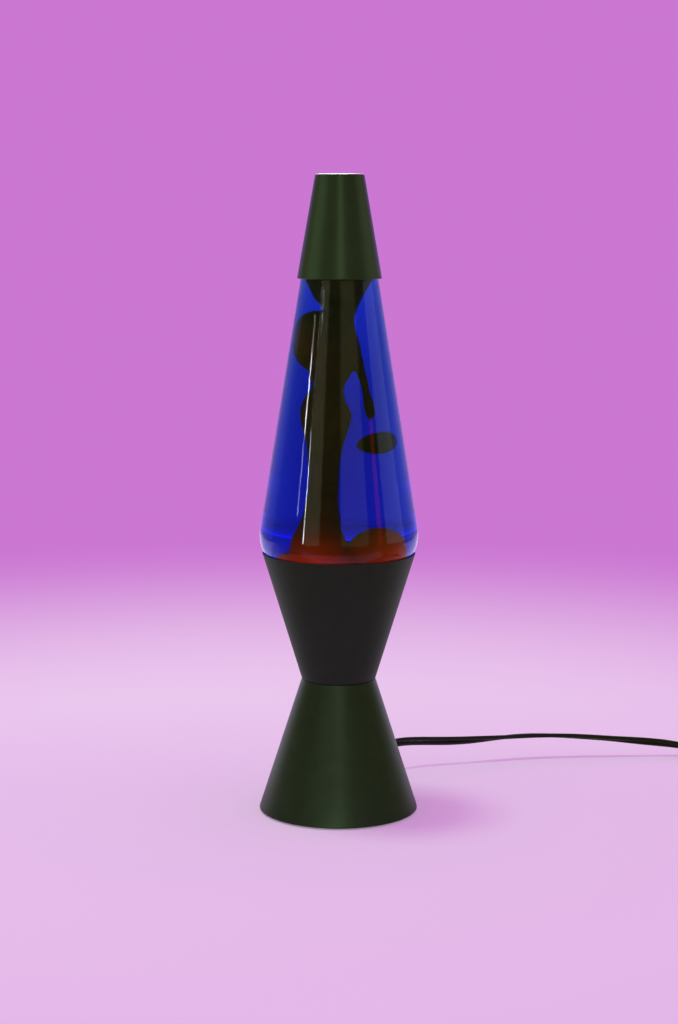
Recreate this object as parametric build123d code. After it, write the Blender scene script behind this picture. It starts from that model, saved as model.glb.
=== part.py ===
from build123d import *
import os
from math import atan2, cos, degrees, hypot, pi, radians, sin, sqrt, tan

# A table-top lava lamp, in millimetres, +Z up.  The origin is on the lamp's axis, on the table.
# The front faces -Y.  The supply cord leaves the back of the base towards +X.
#
# From the table up: a base of two spun cones that meet at a riveted waist, a reflector bulb in a
# screw socket on a strap hung from the waist, a tapered glass globe that rests in the base's rim,
# and a loose conical cap that rests on the globe and hides its crown closure.

# ---- Driving dimensions -------------------------------------------------------------------------
LAMP_HEIGHT = 368.3
FOOT_GAP = 0.8             # the feet hold the base's edge this far off the table
BASE_RADIUS = 46.4
WAIST_RADIUS = 21.4
WAIST_Z = 78.3             # the plane where the two cones' flanges meet
RIM_RADIUS = 44.3
RIM_Z = 152.4
CONE_WALL = 0.9
FLANGE_BORE = 15.5         # opening at the waist, which the bulb's cone passes

CAP_BOTTOM_RADIUS = 24.2
CAP_TOP_RADIUS = 13.9
CAP_BOTTOM_Z = 309.6
CAP_WALL = 0.8

GLASS_WALL = 2.2
GLOBE_FLOOR_Z = 124.0      # underside of the glass
GLASS_FLOOR = 4.0
HEEL_ANGLE = 27.0          # the lower taper, measured from the axis
TAPER_ANGLE = 9.2          # the long upper taper
BELLY_ROUNDING = 22.0
SHOULDER_Z = 327.0
NECK_RADIUS = 11.6
FINISH_RADIUS = 13.3       # the bead that the crown closure grips
MOUTH_RADIUS = 8.6
MOUTH_Z = 348.6
LIQUID_LEVEL = 322.0
POOL_LEVEL = 141.0

SEAT_GAP = 0.06            # free-standing parts rest this close
FIT_GAP = 0.05             # fixed parts and running pins are this far from their holes
FILM_GAP = 0.04            # liquid and wax stay this far from the glass

THREAD_PITCH = 2.822       # nine threads to the inch, the intermediate lamp base
BULB_TURNS_ENGAGED = 3.5

CORE_RADIUS = 1.32         # one insulated core of the flat twin cord
CORE_SPACING = 1.36        # from the cord's centre line to a core's centre
WIRE_RADIUS = 0.5


# ---- Helpers ------------------------------------------------------------------------------------
def between(a, b, z):
    """Radius at height z on the line from a to b, each (radius, z)."""
    return a[0] + (b[0] - a[0]) * (z - a[1]) / (b[1] - a[1])


def corner(before, here, after, rounding):
    """Where a round corner starts, its middle and where it ends, in the outline's plane."""
    ux, uz = before[0] - here[0], before[1] - here[1]
    vx, vz = after[0] - here[0], after[1] - here[1]
    lu, lv = hypot(ux, uz), hypot(vx, vz)
    ux, uz, vx, vz = ux / lu, uz / lu, vx / lv, vz / lv
    half = 0.5 * abs(atan2(ux * vz - uz * vx, ux * vx + uz * vz))
    back = rounding / tan(half)
    start = (here[0] + ux * back, here[1] + uz * back)
    end = (here[0] + vx * back, here[1] + vz * back)
    bx, bz = ux + vx, uz + vz
    reach = (rounding / sin(half) - rounding) / hypot(bx, bz)
    return start, (here[0] + bx * reach, here[1] + bz * reach), end


def outline(points):
    """A face in the XZ plane.  Each point is (x, z), or (x, z, rounding) for a round corner."""
    edges, ends, count = [], [], len(points)
    for i, p in enumerate(points):
        here = (p[0], p[1])
        if len(p) == 3 and p[2] > 0:
            start, middle, end = corner(points[i - 1], here, points[(i + 1) % count], p[2])
            edges.append(ThreePointArc(*[(x, 0, z) for x, z in (start, middle, end)]))
            ends.append((start, end))
        else:
            ends.append((here, here))
    for i in range(count):
        a, b = ends[i][1], ends[(i + 1) % count][0]
        if hypot(a[0] - b[0], a[1] - b[1]) > 1e-6:
            edges.append(Line((a[0], 0, a[1]), (b[0], 0, b[1])))
    return make_face(edges)


def turned(points):
    """The solid of revolution of an outline about the lamp's axis."""
    return revolve(outline(points), axis=Axis.Z)


def inset(points, wall):
    """An open outline moved to its left by wall, with its round corners kept parallel."""
    lines = []
    for a, b in zip(points, points[1:]):
        dx, dz = b[0] - a[0], b[1] - a[1]
        length = hypot(dx, dz)
        lines.append((a[0] - dz / length * wall, a[1] + dx / length * wall, dx, dz))
    moved = [(lines[0][0], lines[0][1], 0)]
    for (ax, az, adx, adz), (bx, bz, bdx, bdz), p in zip(lines, lines[1:], points[1:]):
        cross = adx * bdz - adz * bdx
        t = ((bx - ax) * bdz - (bz - az) * bdx) / cross
        rounding = p[2] if len(p) == 3 else 0
        kept = rounding - wall if cross > 0 else rounding + wall
        moved.append((ax + adx * t, az + adz * t, max(kept, 0) if rounding else 0))
    x, z, dx, dz = lines[-1]
    moved.append((x + dx, z + dz, 0))
    return moved


def rod(radius, z0, z1, x=0.0, y=0.0):
    """An upright cylinder from z0 to z1."""
    place = Location((x, y, z0))
    return place * Cylinder(radius, z1 - z0, align=(Align.CENTER, Align.CENTER, Align.MIN))


def bar(radius, start, end):
    """A cylinder from one point to another."""
    a, b = Vector(*start), Vector(*end)
    plane = Plane(origin=a, z_dir=b - a)
    return plane * Cylinder(radius, (b - a).length, align=(Align.CENTER, Align.CENTER, Align.MIN))


def around(shape, count, start=0.0):
    """Copies of a shape, evenly spaced about the lamp's axis."""
    return [Rot(0, 0, start + 360.0 * i / count) * shape for i in range(count)]


def ellipsoid(centre, radii, tilt=0.0):
    """A ball stretched to three radii, tilted about the Y direction, with its centre at centre."""
    ball = scale(Sphere(1.0), by=radii)
    return Location(centre) * Rot(0, tilt, 0) * ball


def along_line(face, path):
    """A solid of constant round section along a curve."""
    section = Plane(origin=path @ 0, z_dir=path % 0) * face
    return sweep(section, path=path, is_frenet=True)


def blob_stack(rings):
    """A smooth solid through horizontal rings, each (z, centre x, x radius, y radius)."""
    faces = [Location((x, 0, z)) * make_face(Ellipse(rx, ry)) for z, x, rx, ry in rings]
    return loft(faces)


# ---- The base -----------------------------------------------------------------------------------
LOWER_FOOT = (BASE_RADIUS, FOOT_GAP)
LOWER_TOP = (WAIST_RADIUS, WAIST_Z)
UPPER_FOOT = (WAIST_RADIUS, WAIST_Z)
UPPER_RIM = (RIM_RADIUS, RIM_Z)
LOWER_SLOPE = atan2(BASE_RADIUS - WAIST_RADIUS, WAIST_Z - FOOT_GAP)
UPPER_SLOPE = atan2(RIM_RADIUS - WAIST_RADIUS, RIM_Z - WAIST_Z)
LOWER_WALL_X = CONE_WALL / cos(LOWER_SLOPE)
UPPER_WALL_X = CONE_WALL / cos(UPPER_SLOPE)
FLANGE = 1.0
HEM_RADIUS = 42.4          # the opening in the base's underside
HEM_TOP_Z = FOOT_GAP + FLANGE

RIVET_CIRCLE = 18.1
RIVET_RADIUS = 1.5
RIVET_HEAD = (2.3, 1.1)    # radius and height
STRAP = 1.2
EAR_TOP_Z = WAIST_Z - FLANGE

CORD_EXIT_ANGLE = 66.0     # round from +X towards the back
CORD_EXIT_Z = 13.0
GROMMET_HOLE = 4.6


def cord_exit():
    """The point on the lower cone's outside where the cord leaves, and the outward direction."""
    angle = radians(CORD_EXIT_ANGLE)
    radius = between(LOWER_FOOT, LOWER_TOP, CORD_EXIT_Z)
    level = cos(LOWER_SLOPE)
    out = Vector(cos(angle) * level, sin(angle) * level, sin(LOWER_SLOPE))
    return Vector(radius * cos(angle), radius * sin(angle), CORD_EXIT_Z), out


def lower_cone():
    inner_top = between(LOWER_FOOT, LOWER_TOP, EAR_TOP_Z) - LOWER_WALL_X
    inner_foot = between(LOWER_FOOT, LOWER_TOP, HEM_TOP_Z) - LOWER_WALL_X
    shell = turned([
        (HEM_RADIUS, FOOT_GAP), (*LOWER_FOOT, 0.6), (*LOWER_TOP, 0.9),
        (FLANGE_BORE, WAIST_Z), (FLANGE_BORE, EAR_TOP_Z), (inner_top, EAR_TOP_Z),
        (inner_foot, HEM_TOP_Z), (HEM_RADIUS, HEM_TOP_Z),
    ])
    point, out = cord_exit()
    hole = bar(GROMMET_HOLE, point - out * 8, point + out * 8)
    rivets = around(rod(RIVET_RADIUS + FIT_GAP, EAR_TOP_Z - 1, WAIST_Z + 1, RIVET_CIRCLE), 4)
    return shell - hole - rivets


def upper_cone():
    floor = WAIST_Z + FLANGE
    inner_foot = between(UPPER_FOOT, UPPER_RIM, floor) - UPPER_WALL_X
    inner_rim = RIM_RADIUS - UPPER_WALL_X
    shell = turned([
        (FLANGE_BORE, WAIST_Z), (*UPPER_FOOT, 0.8), (*UPPER_RIM, 0.3), (inner_rim, RIM_Z),
        (inner_foot, floor), (FLANGE_BORE, floor),
    ])
    rivets = around(rod(RIVET_RADIUS + FIT_GAP, WAIST_Z - 1, floor + 1, RIVET_CIRCLE), 4)
    return shell - rivets


def rivet(low, high):
    """One rivet on the +X side, holding the plates between two heights."""
    radius, height = RIVET_HEAD
    shank = rod(RIVET_RADIUS, low, high, RIVET_CIRCLE)
    head = rod(radius, high, high + height, RIVET_CIRCLE)
    foot = rod(radius, low - height, low, RIVET_CIRCLE)
    rounded = fillet(head.edges().group_by(Axis.Z)[-1], height * 0.6)
    rounded_foot = fillet(foot.edges().group_by(Axis.Z)[0], height * 0.6)
    return shank + rounded + rounded_foot


def waist_rivets():
    """Two rivets hold the strap's ears and the flanges, and two hold the flanges alone."""
    top = WAIST_Z + FLANGE
    long_rivet = rivet(EAR_TOP_Z - STRAP, top)
    short_rivet = rivet(EAR_TOP_Z, top)
    return Compound(around(long_rivet, 2) + around(short_rivet, 2, 90))


STRAP_HALF_WIDTH = 5.0
STRAP_ARM_X = 14.0
STRAP_EAR_X = 19.8
SOCKET_FLOOR_Z = 35.0
SOCKET_RADIUS = 13.0
SOCKET_TOP_Z = 63.5
MOUNT_SCREW_RADIUS = 1.9


def socket_bracket():
    """A steel strap bent to a U, hung from the waist by two ears."""
    low, under = SOCKET_FLOOR_Z - STRAP, EAR_TOP_Z - STRAP
    side = [
        (STRAP_EAR_X, under), (STRAP_EAR_X, EAR_TOP_Z), (STRAP_ARM_X, EAR_TOP_Z, 0.4),
        (STRAP_ARM_X, SOCKET_FLOOR_Z, 0.6),
    ]
    outer = [(STRAP_ARM_X + STRAP, low, 1.8), (STRAP_ARM_X + STRAP, under, 0.6)]
    mirror = lambda p: (-p[0], *p[1:])
    face = outline(side + [mirror(p) for p in side[::-1]]
                   + [mirror(p) for p in outer[::-1]] + outer)
    strap = extrude(face, amount=STRAP_HALF_WIDTH, both=True)
    holes = around(rod(RIVET_RADIUS + FIT_GAP, under - 1, EAR_TOP_Z + 1, RIVET_CIRCLE), 2)
    return strap - holes - rod(MOUNT_SCREW_RADIUS + 0.2, low - 1, SOCKET_FLOOR_Z + 1)


COVER_LIP_RADIUS = 43.6
COVER_TOP_Z = 3.4
PAD_RADIUS = 5.0
PAD_CIRCLE = 33.0
PAD_RECESS = 0.8


def bottom_cover():
    """A vented disc that snaps into the hem of the lower cone."""
    boss = HEM_RADIUS - 0.2
    disc = turned([
        (0, FOOT_GAP), (boss, FOOT_GAP, 0.3), (boss, HEM_TOP_Z + FIT_GAP),
        (COVER_LIP_RADIUS, HEM_TOP_Z + FIT_GAP), (COVER_LIP_RADIUS, COVER_TOP_Z, 0.6),
        (0, COVER_TOP_Z),
    ])
    slot = Pos(0, 0, -1) * extrude(Pos(19, 0) * SlotOverall(13, 3.2), amount=8)
    small = rod(1.7, -1, 8, 7.5)
    seats = [rod(PAD_RADIUS + FIT_GAP, -1, FOOT_GAP + PAD_RECESS, x) for x in (0, PAD_CIRCLE)]
    return disc - around(slot, 12) - around(small, 6) - seats[0] - around(seats[1], 4, 45)


def foot_pads():
    """Four pads near the edge and one under the middle, all standing on the table."""
    pad = rod(PAD_RADIUS, 0, FOOT_GAP + PAD_RECESS - FIT_GAP)
    pad = fillet(pad.edges().group_by(Axis.Z)[0], 0.5)
    return Compound([pad] + around(Pos(PAD_CIRCLE, 0, 0) * pad, 4, 45))


def cord_slot(clearance):
    """The outline of the flat cord's two cores with clearance round them, standing upright."""
    half = CORE_RADIUS + clearance
    return Rot(0, 0, 90) * SlotOverall(2 * (CORE_SPACING + half), 2 * half)


def cord_grommet():
    """The bush that guards the cord in the wall, square to the cone's surface."""
    point, out = cord_exit()
    reach, flange, width = CONE_WALL + 0.6, 1.3, 6.2
    plane = Plane(origin=point, x_dir=out.cross(Vector(0, 0, 1)), z_dir=out)
    face = [
        (0, -reach - flange), (width - 0.4, -reach - flange, 0.5), (width - 0.4, -reach),
        (GROMMET_HOLE - 0.1, -reach), (GROMMET_HOLE - 0.1, 0.03), (width, 0.03),
        (width, flange, 0.7), (0, flange),
    ]
    bore = extrude(cord_slot(0.15), amount=12, both=True)
    return plane * (turned(face) - bore)


# ---- The socket ---------------------------------------------------------------------------------
SHELL_FOOT_Z = 44.0
SHELL_TOP_Z = 62.5
SHELL_RADIUS = 9.2
BULB_TIP_Z = 43.0
BULB_SHELL_FOOT_Z = 47.0
BULB_SHELL_TOP_Z = 60.4
BULB_THREAD_Z = 48.5
BULB_ROOT, BULB_CREST = 7.6, 8.3
SOCKET_CREST, SOCKET_ROOT = 7.95, 8.65
TERMINAL_Z = 50.0
TERMINAL_HEAD = (3.0, 1.6)
TERMINAL_REACH = 9.9       # how far from the axis a terminal screw's shank ends


def thread_ridge(root, crest, half_root, half_crest, z0, turns):
    """A helical ridge, starting on the +X side at z0 and climbing a right-hand thread."""
    path = Helix(pitch=THREAD_PITCH, height=THREAD_PITCH * turns, radius=root)
    sunk = 0.3
    flare = (half_root - half_crest) / (crest - root)
    low = half_root + sunk * flare
    plane = Plane(origin=path @ 0, x_dir=(1, 0, 0), z_dir=path % 0)
    tooth = Polyline((-sunk, -low), (crest - root, -half_crest), (crest - root, half_crest),
                     (-sunk, low), (-sunk, -low))
    return Pos(0, 0, z0) * sweep(make_face(plane * tooth), path=path, is_frenet=True)


def socket_body():
    """The porcelain body: a stepped bore for the screw shell and the centre contact."""
    body = turned([
        (0, SOCKET_FLOOR_Z), (SOCKET_RADIUS, SOCKET_FLOOR_Z, 0.8),
        (SOCKET_RADIUS, SOCKET_TOP_Z, 1.0), (0, SOCKET_TOP_Z),
    ])
    bore = rod(SHELL_RADIUS + FIT_GAP, SHELL_FOOT_Z - 0.1, SOCKET_TOP_Z + 1)
    pocket = rod(6.5, 41.0, SHELL_FOOT_Z)
    screw = rod(MOUNT_SCREW_RADIUS + FIT_GAP, SOCKET_FLOOR_Z - 1, 39.0)
    terminal = bar(1.3, (0, SHELL_RADIUS - 1, TERMINAL_Z), (0, SOCKET_RADIUS + 1, TERMINAL_Z))
    return body - bore - pocket - screw - around(terminal, 2)


def socket_screw():
    low = SOCKET_FLOOR_Z - STRAP
    head = fillet(rod(3.5, low - 2.2, low).edges().group_by(Axis.Z)[0], 1.2)
    slot = Pos(0, 0, low - 2.2) * Box(8, 0.9, 1.8)
    return head + rod(MOUNT_SCREW_RADIUS, low, 38.6) - slot


def socket_shell():
    """The threaded sleeve that the bulb screws into."""
    start = BULB_THREAD_Z - 2 * THREAD_PITCH
    groove = thread_ridge(SOCKET_CREST, SOCKET_ROOT, 0.95, 0.35, start, 8)
    tool = rod(SOCKET_CREST, SHELL_FOOT_Z - 6, SHELL_TOP_Z + 6) + groove
    return rod(SHELL_RADIUS, SHELL_FOOT_Z, SHELL_TOP_Z) - tool


def socket_contact():
    """A brass leaf folded under the bulb's tip."""
    leaf, low, high = 0.5, 41.05, BULB_TIP_Z - 0.55
    face = outline([
        (-5.5, low), (4.5, low, 0.9), (4.5, high + leaf, 0.9), (-2.0, high + leaf),
        (-2.0, high), (4.0, high, 0.4), (4.0, low + leaf, 0.4), (-5.5, low + leaf),
    ])
    return extrude(face, amount=2.0, both=True)


def terminal_screws():
    radius, height = TERMINAL_HEAD
    face = SOCKET_RADIUS + 0.05
    shank = bar(1.25, (0, TERMINAL_REACH, TERMINAL_Z), (0, face, TERMINAL_Z))
    head = bar(radius, (0, face, TERMINAL_Z), (0, face + height, TERMINAL_Z))
    head = fillet(head.edges().group_by(Axis.Y)[-1], 0.6)
    slot = Pos(0, face + height, TERMINAL_Z) * Box(7, 1.4, 0.8)
    return Compound(around(shank + head - slot, 2))


# ---- The bulb -----------------------------------------------------------------------------------
BULB_TOP_Z = 109.5
BULB_RADIUS = 20.2
BULB_NECK = 7.15
BULB_GLASS = 0.7
STEM_TOP_Z = 76.0
LEAD_X = 1.4


def bulb_envelope():
    """The blown reflector envelope, a thin shell open at its neck."""
    outer = [
        (BULB_NECK, 49.0), (BULB_NECK, 62.5, 8.0), (BULB_RADIUS, 95.5, 8.0),
        (12.5, BULB_TOP_Z, 11.0), (0, BULB_TOP_Z),
    ]
    return turned(outer + inset(outer, BULB_GLASS)[::-1])


def bulb_stem():
    """The glass flare that closes the neck, with the pinch that holds the lead wires."""
    stem = turned([(0, 49.0), (6.4, 49.0), (6.4, 50.0), (3.0, 52.5, 2.0), (2.6, STEM_TOP_Z, 0.6),
                   (0, STEM_TOP_Z)])
    return stem - around(rod(0.45, STEM_TOP_Z - 5, STEM_TOP_Z + 1, LEAD_X), 2)


def bulb_shell():
    """The bulb's threaded metal shell."""
    tube = rod(BULB_ROOT, BULB_SHELL_FOOT_Z, BULB_SHELL_TOP_Z)
    ridge = thread_ridge(BULB_ROOT, BULB_CREST, 0.95, 0.3, BULB_THREAD_Z, BULB_TURNS_ENGAGED)
    return tube + ridge - rod(BULB_NECK + 0.08, 40, 70)


def bulb_insulator():
    """The black glass cone between the shell and the tip."""
    top = BULB_SHELL_FOOT_Z - FIT_GAP
    return turned([(0, 44.15), (2.7, 44.15), (7.2, top - 0.5), (7.2, top), (0, top)])


def bulb_tip():
    """The soldered centre contact.  It is round, so its own turning can't be seen."""
    return turned([(0, BULB_TIP_Z), (1.4, BULB_TIP_Z, 0.5), (2.4, 44.1), (0, 44.1)])


def bulb_filament():
    """Two lead wires from the stem's pinch and the filament bowed between them."""
    foot, top, spread = STEM_TOP_Z - 4.5, 87.0, 6.0
    lead = Spline((LEAD_X, 0, foot), (LEAD_X, 0, STEM_TOP_Z + 0.5), (spread, 0, top),
                  tangents=[(0, 0, 1), (0.5, 0, 1)])
    bow = ThreePointArc((spread, 0, top - 0.2), (0, 3.5, top + 1.4), (-spread, 0, top - 0.2))
    return along_line(Circle(0.25), bow) + around(along_line(Circle(0.3), lead), 2)


# ---- The glass globe and its closure ------------------------------------------------------------
SEAT_RADIUS = RIM_RADIUS - UPPER_WALL_X - SEAT_GAP
HEEL_TAN = tan(radians(HEEL_ANGLE))
TAPER_TAN = tan(radians(TAPER_ANGLE))
BELLY_RADIUS = SEAT_RADIUS + BELLY_ROUNDING * (1 - cos(radians(HEEL_ANGLE)))
BELLY_Z = RIM_Z + BELLY_ROUNDING * sin(radians(HEEL_ANGLE))
TAPER_START = (
    BELLY_RADIUS - BELLY_ROUNDING * (1 - cos(radians(TAPER_ANGLE))),
    BELLY_Z + BELLY_ROUNDING * sin(radians(TAPER_ANGLE)),
)


def taper_radius(z):
    """The globe's outer radius on its long upper taper."""
    return TAPER_START[0] - (z - TAPER_START[1]) * TAPER_TAN


def belly_corner():
    """Where the two tapers would meet if the belly were sharp."""
    rise = (TAPER_START[0] + TAPER_START[1] * TAPER_TAN - SEAT_RADIUS + RIM_Z * HEEL_TAN)
    z = rise / (HEEL_TAN + TAPER_TAN)
    return SEAT_RADIUS + (z - RIM_Z) * HEEL_TAN, z


def globe_side():
    """The outside of the globe from its heel to its shoulder."""
    heel = SEAT_RADIUS - (RIM_Z - GLOBE_FLOOR_Z) * HEEL_TAN
    return [
        (heel, GLOBE_FLOOR_Z, 7.0), (*belly_corner(), BELLY_ROUNDING),
        (taper_radius(SHOULDER_Z), SHOULDER_Z, 8.0), (NECK_RADIUS, SHOULDER_Z + 7.5, 3.5),
    ]


def bore_side(gap=0.0):
    """The inside of the globe from the floor's centre up to the neck, moved in by gap."""
    floor = GLOBE_FLOOR_Z + GLASS_FLOOR + gap
    wall = GLASS_WALL + gap
    side = inset([(0, GLOBE_FLOOR_Z)] + globe_side() + [(NECK_RADIUS, MOUTH_Z)], wall)
    heel, belly, shoulder = side[1:4]
    climb = (floor - heel[1]) * HEEL_TAN
    mouth = MOUTH_RADIUS - gap
    return [(0, floor), (heel[0] + climb, floor, 7.0), belly, shoulder,
            (mouth, SHOULDER_Z + 6.3, 3.0)]


def glass_globe():
    """A tapered bottle with a raised centre underneath and a beaded finish at its mouth."""
    foot_in = 22.0
    outside = [(0, GLOBE_FLOOR_Z + 1.2), (foot_in, GLOBE_FLOOR_Z + 1.2, 1.0),
               (foot_in + 2, GLOBE_FLOOR_Z, 1.0)] + globe_side()
    finish = [
        (NECK_RADIUS, MOUTH_Z - 6.9, 0.6), (FINISH_RADIUS, MOUTH_Z - 6.0, 0.8),
        (FINISH_RADIUS, MOUTH_Z, 1.4), (MOUTH_RADIUS, MOUTH_Z, 1.2),
    ]
    return turned(outside + finish + bore_side()[::-1])


def crown_cap():
    """The pressed steel crown that closes the globe for good."""
    top = MOUTH_Z + 1.0
    outer = [(FINISH_RADIUS + 1.3, MOUTH_Z - 5.6), (FINISH_RADIUS + 0.55, MOUTH_Z - 3.4, 2.0),
             (FINISH_RADIUS + 0.45, top, 1.4), (0, top)]
    return turned(outer + inset(outer, 0.3)[::-1])


def crown_liner():
    return turned([(0, MOUTH_Z + 0.04), (12.4, MOUTH_Z + 0.04), (12.4, MOUTH_Z + 0.64),
                   (0, MOUTH_Z + 0.64)])


def top_cap():
    """The loose spun cap.  Its rolled hem rests on the globe's taper."""
    hem_height = 1.6
    foot, top = (CAP_BOTTOM_RADIUS, CAP_BOTTOM_Z), (CAP_TOP_RADIUS, LAMP_HEIGHT)
    slope = atan2(foot[0] - top[0], top[1] - foot[1])
    wall_x = CAP_WALL / cos(slope)
    hem = taper_radius(CAP_BOTTOM_Z) + SEAT_GAP
    shelf, roof = CAP_BOTTOM_Z + hem_height, LAMP_HEIGHT - CAP_WALL
    return turned([
        (hem, CAP_BOTTOM_Z, 0.5), (*foot, 0.5), (*top, 1.3), (0, LAMP_HEIGHT), (0, roof),
        (between(foot, top, roof) - wall_x, roof, 0.5),
        (between(foot, top, shelf) - wall_x, shelf), (hem, shelf, 0.5),
    ])


# ---- What the globe holds -----------------------------------------------------------------------
COIL_CIRCLE = 21.0
COIL_RADIUS = 3.2
COIL_WIRE = 0.45
COIL_TURNS = 30
COIL_Z = GLOBE_FLOOR_Z + GLASS_FLOOR + 4.6
BLOB_CENTRE = (16.0, 0, 215.0)
BLOB_RADII = (9.0, 8.4, 6.2)
BLOB_TILT = -9.0


def wax_column():
    """The risen wax, from the pool to the funnel under the liquid's surface."""
    return blob_stack([
        (138.0, -9.0, 17.0, 18.0),
        (151.5, -9.0, 16.4, 17.4),
        (156.0, -8.2, 13.2, 14.0),
        (161.5, -7.8, 10.0, 10.6),
        (175.0, -6.9, 7.8, 8.4),
        (194.5, -6.2, 6.4, 7.2),
        (208.9, -6.1, 7.1, 7.6),
        (220.0, -5.7, 9.0, 9.0),
        (231.9, -5.7, 10.7, 10.2),
        (247.4, -4.4, 6.9, 7.6),
        (258.8, -2.7, 9.4, 9.2),
        (268.0, 0.3, 8.4, 8.6),
        (286.1, 0.1, 6.0, 6.6),
        (297.5, -0.6, 9.9, 9.6),
        (308.8, -0.3, 14.3, 14.2),
        (319.5, -0.2, 16.4, 16.2),
    ])


def wax_drip():
    """A long drop that hangs from the column's right side."""
    neck = blob_stack([
        (268.0, 6.8, 3.4, 3.4),
        (257.0, 8.5, 2.1, 2.1),
        (246.0, 10.8, 1.65, 1.65),
        (233.5, 12.7, 1.7, 1.7),
    ])
    return neck + ellipsoid((12.8, 0, 233.0), (2.1, 2.1, 4.8))


def wax_pool():
    """The wax that stays on the globe's floor, level on top."""
    side = bore_side(FILM_GAP)
    belly = side[2]
    edge = belly[0] - (belly[1] - POOL_LEVEL) * HEEL_TAN - 0.3
    return turned([(0, side[0][1]), side[1], (edge, POOL_LEVEL, 0.8), (0, POOL_LEVEL)])


def wax_mass():
    """Pool, mound, column, side lobe and drip in one piece, round the coil's hollow."""
    lobe = ellipsoid((-8.6, 0, 272.8), (12.2, 11.0, 17.8), -3.0)
    mound = ellipsoid((16.4, 0, 151.6), (13.4, 13.0, 14.8))
    hollow = Pos(0, 0, COIL_Z) * Torus(COIL_CIRCLE, COIL_RADIUS + COIL_WIRE + 0.3)
    return wax_pool() + wax_column() + lobe + mound + wax_drip() - hollow


def wax_blob():
    """A free drop of wax that rises and sinks."""
    return ellipsoid(BLOB_CENTRE, BLOB_RADII, BLOB_TILT)


def heating_coil():
    """A spring of bare wire bent into a ring on the globe's floor."""
    steps_per_turn = 8
    count = COIL_TURNS * steps_per_turn
    points = []
    for i in range(count):
        ring = 2 * pi * i / count
        turn = ring * COIL_TURNS
        reach = COIL_CIRCLE + COIL_RADIUS * cos(turn)
        points.append((reach * cos(ring), reach * sin(ring), COIL_Z + COIL_RADIUS * sin(turn)))
    path = Spline(*points[:-2])
    return along_line(Circle(COIL_WIRE), path)


def liquid(wax):
    """The coloured liquid: the globe's bore up to its level, less the wax."""
    side = bore_side(FILM_GAP)
    shoulder = side[3]
    top = between(side[2], shoulder, LIQUID_LEVEL)
    filled = turned([(0, side[0][1]), side[1], side[2], (top, LIQUID_LEVEL), (0, LIQUID_LEVEL)])
    hole = ellipsoid(BLOB_CENTRE, tuple(r + FILM_GAP for r in BLOB_RADII), BLOB_TILT)
    clear = filled - wax - hole
    return max(clear.solids(), key=lambda piece: piece.volume)


# ---- The cord, its switch and its plug ----------------------------------------------------------
SWITCH_CENTRE = (270.0, 28.0)
SWITCH_LENGTH, SWITCH_WIDTH, SWITCH_HEIGHT = 46.0, 20.0, 16.0
SWITCH_WALL = 1.6
SPLIT_Z = 10.5             # the switch case's joint, which holds the wheel's axle
WHEEL_RADIUS, WHEEL_HALF = 7.5, 2.5
AXLE_RADIUS = 1.0
SWITCH_CORD_Z = 5.0
BYPASS = 5.6               # how far the uncut core swings aside to pass the wheel
PLUG_CENTRE_X = 262.0
PLUG_BACK_Y, PLUG_FACE_Y = -58.0, -84.0
PLUG_Z = 7.0


def cord_line():
    """The cord's centre line, from inside the base, through the switch, to inside the plug."""
    point, out = cord_exit()
    inside, outside = point - out * 12, point + out * 10
    cx, cy = SWITCH_CENTRE
    end = SWITCH_LENGTH / 2
    return Spline(
        inside, point, outside,
        (36.0, 78.0, 19.1), (70.0, 93.5, 16.4), (122.0, 108.0, 16.2), (154.5, 112.5, 14.6),
        (193.7, 116.0, 10.9), (218.6, 117.5, 7.8), (250.0, 108.0, 2.6), (268.0, 82.0, 3.0),
        (cx, cy + end + 4, SWITCH_CORD_Z), (cx, cy + end - 5, SWITCH_CORD_Z),
        (cx, cy, SWITCH_CORD_Z), (cx, cy - end + 5, SWITCH_CORD_Z),
        (cx, cy - end - 4, SWITCH_CORD_Z), (cx - 2.6, cy - end - 22, 2.2),
        (PLUG_CENTRE_X + 1, -38.0, 3.2), (PLUG_CENTRE_X, PLUG_BACK_Y + 3, PLUG_Z),
        (PLUG_CENTRE_X, PLUG_BACK_Y - 2, PLUG_Z), (PLUG_CENTRE_X, PLUG_BACK_Y - 8, PLUG_Z),
        tangents=[out, Vector(0, -1, 0)],
    )


# How far the cord has twisted from standing on edge, in degrees, along its length from 0 to 1.
CORD_TWIST = ((0.0, 0), (0.19, 0), (0.31, 84), (0.42, 60), (0.50, 25), (0.60, 90), (1.0, 90))


def smooth(table, u):
    """A value eased between the entries of a table of (place, value)."""
    for (u0, v0), (u1, v1) in zip(table, table[1:]):
        if u <= u1:
            t = (u - u0) / (u1 - u0)
            return v0 + (v1 - v0) * t * t * (3 - 2 * t)
    return table[-1][1]


def core_line(side, start, end, line):
    """The centre line of one core between two places along the cord."""
    count = max(8, int((end - start) * 55))
    cy = SWITCH_CENTRE[1]
    points = []
    for i in range(count + 1):
        u = start + (end - start) * i / count
        here, along = line @ u, (line % u).normalized()
        level = along.cross(Vector(0, 0, 1)).normalized()
        up = level.cross(along)
        angle = radians(smooth(CORD_TWIST, u))
        near = max(0.0, 1 - ((here.Y - cy) / (SWITCH_LENGTH / 2 - 2)) ** 2) ** 2
        aside = (BYPASS - CORE_SPACING) * near if here.X > SWITCH_CENTRE[0] - 10 and side > 0 else 0
        reach = side * (CORE_SPACING + aside)
        points.append(here + up * (reach * cos(angle)) + level * (reach * sin(angle)))
    return Spline(*points)


def place_at(line, y_value):
    """Where along the cord's second half it crosses a given Y."""
    low, high = 0.45, 1.0
    for _ in range(40):
        middle = (low + high) / 2
        if (line @ middle).Y > y_value:
            low = middle
        else:
            high = middle
    return low


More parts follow.
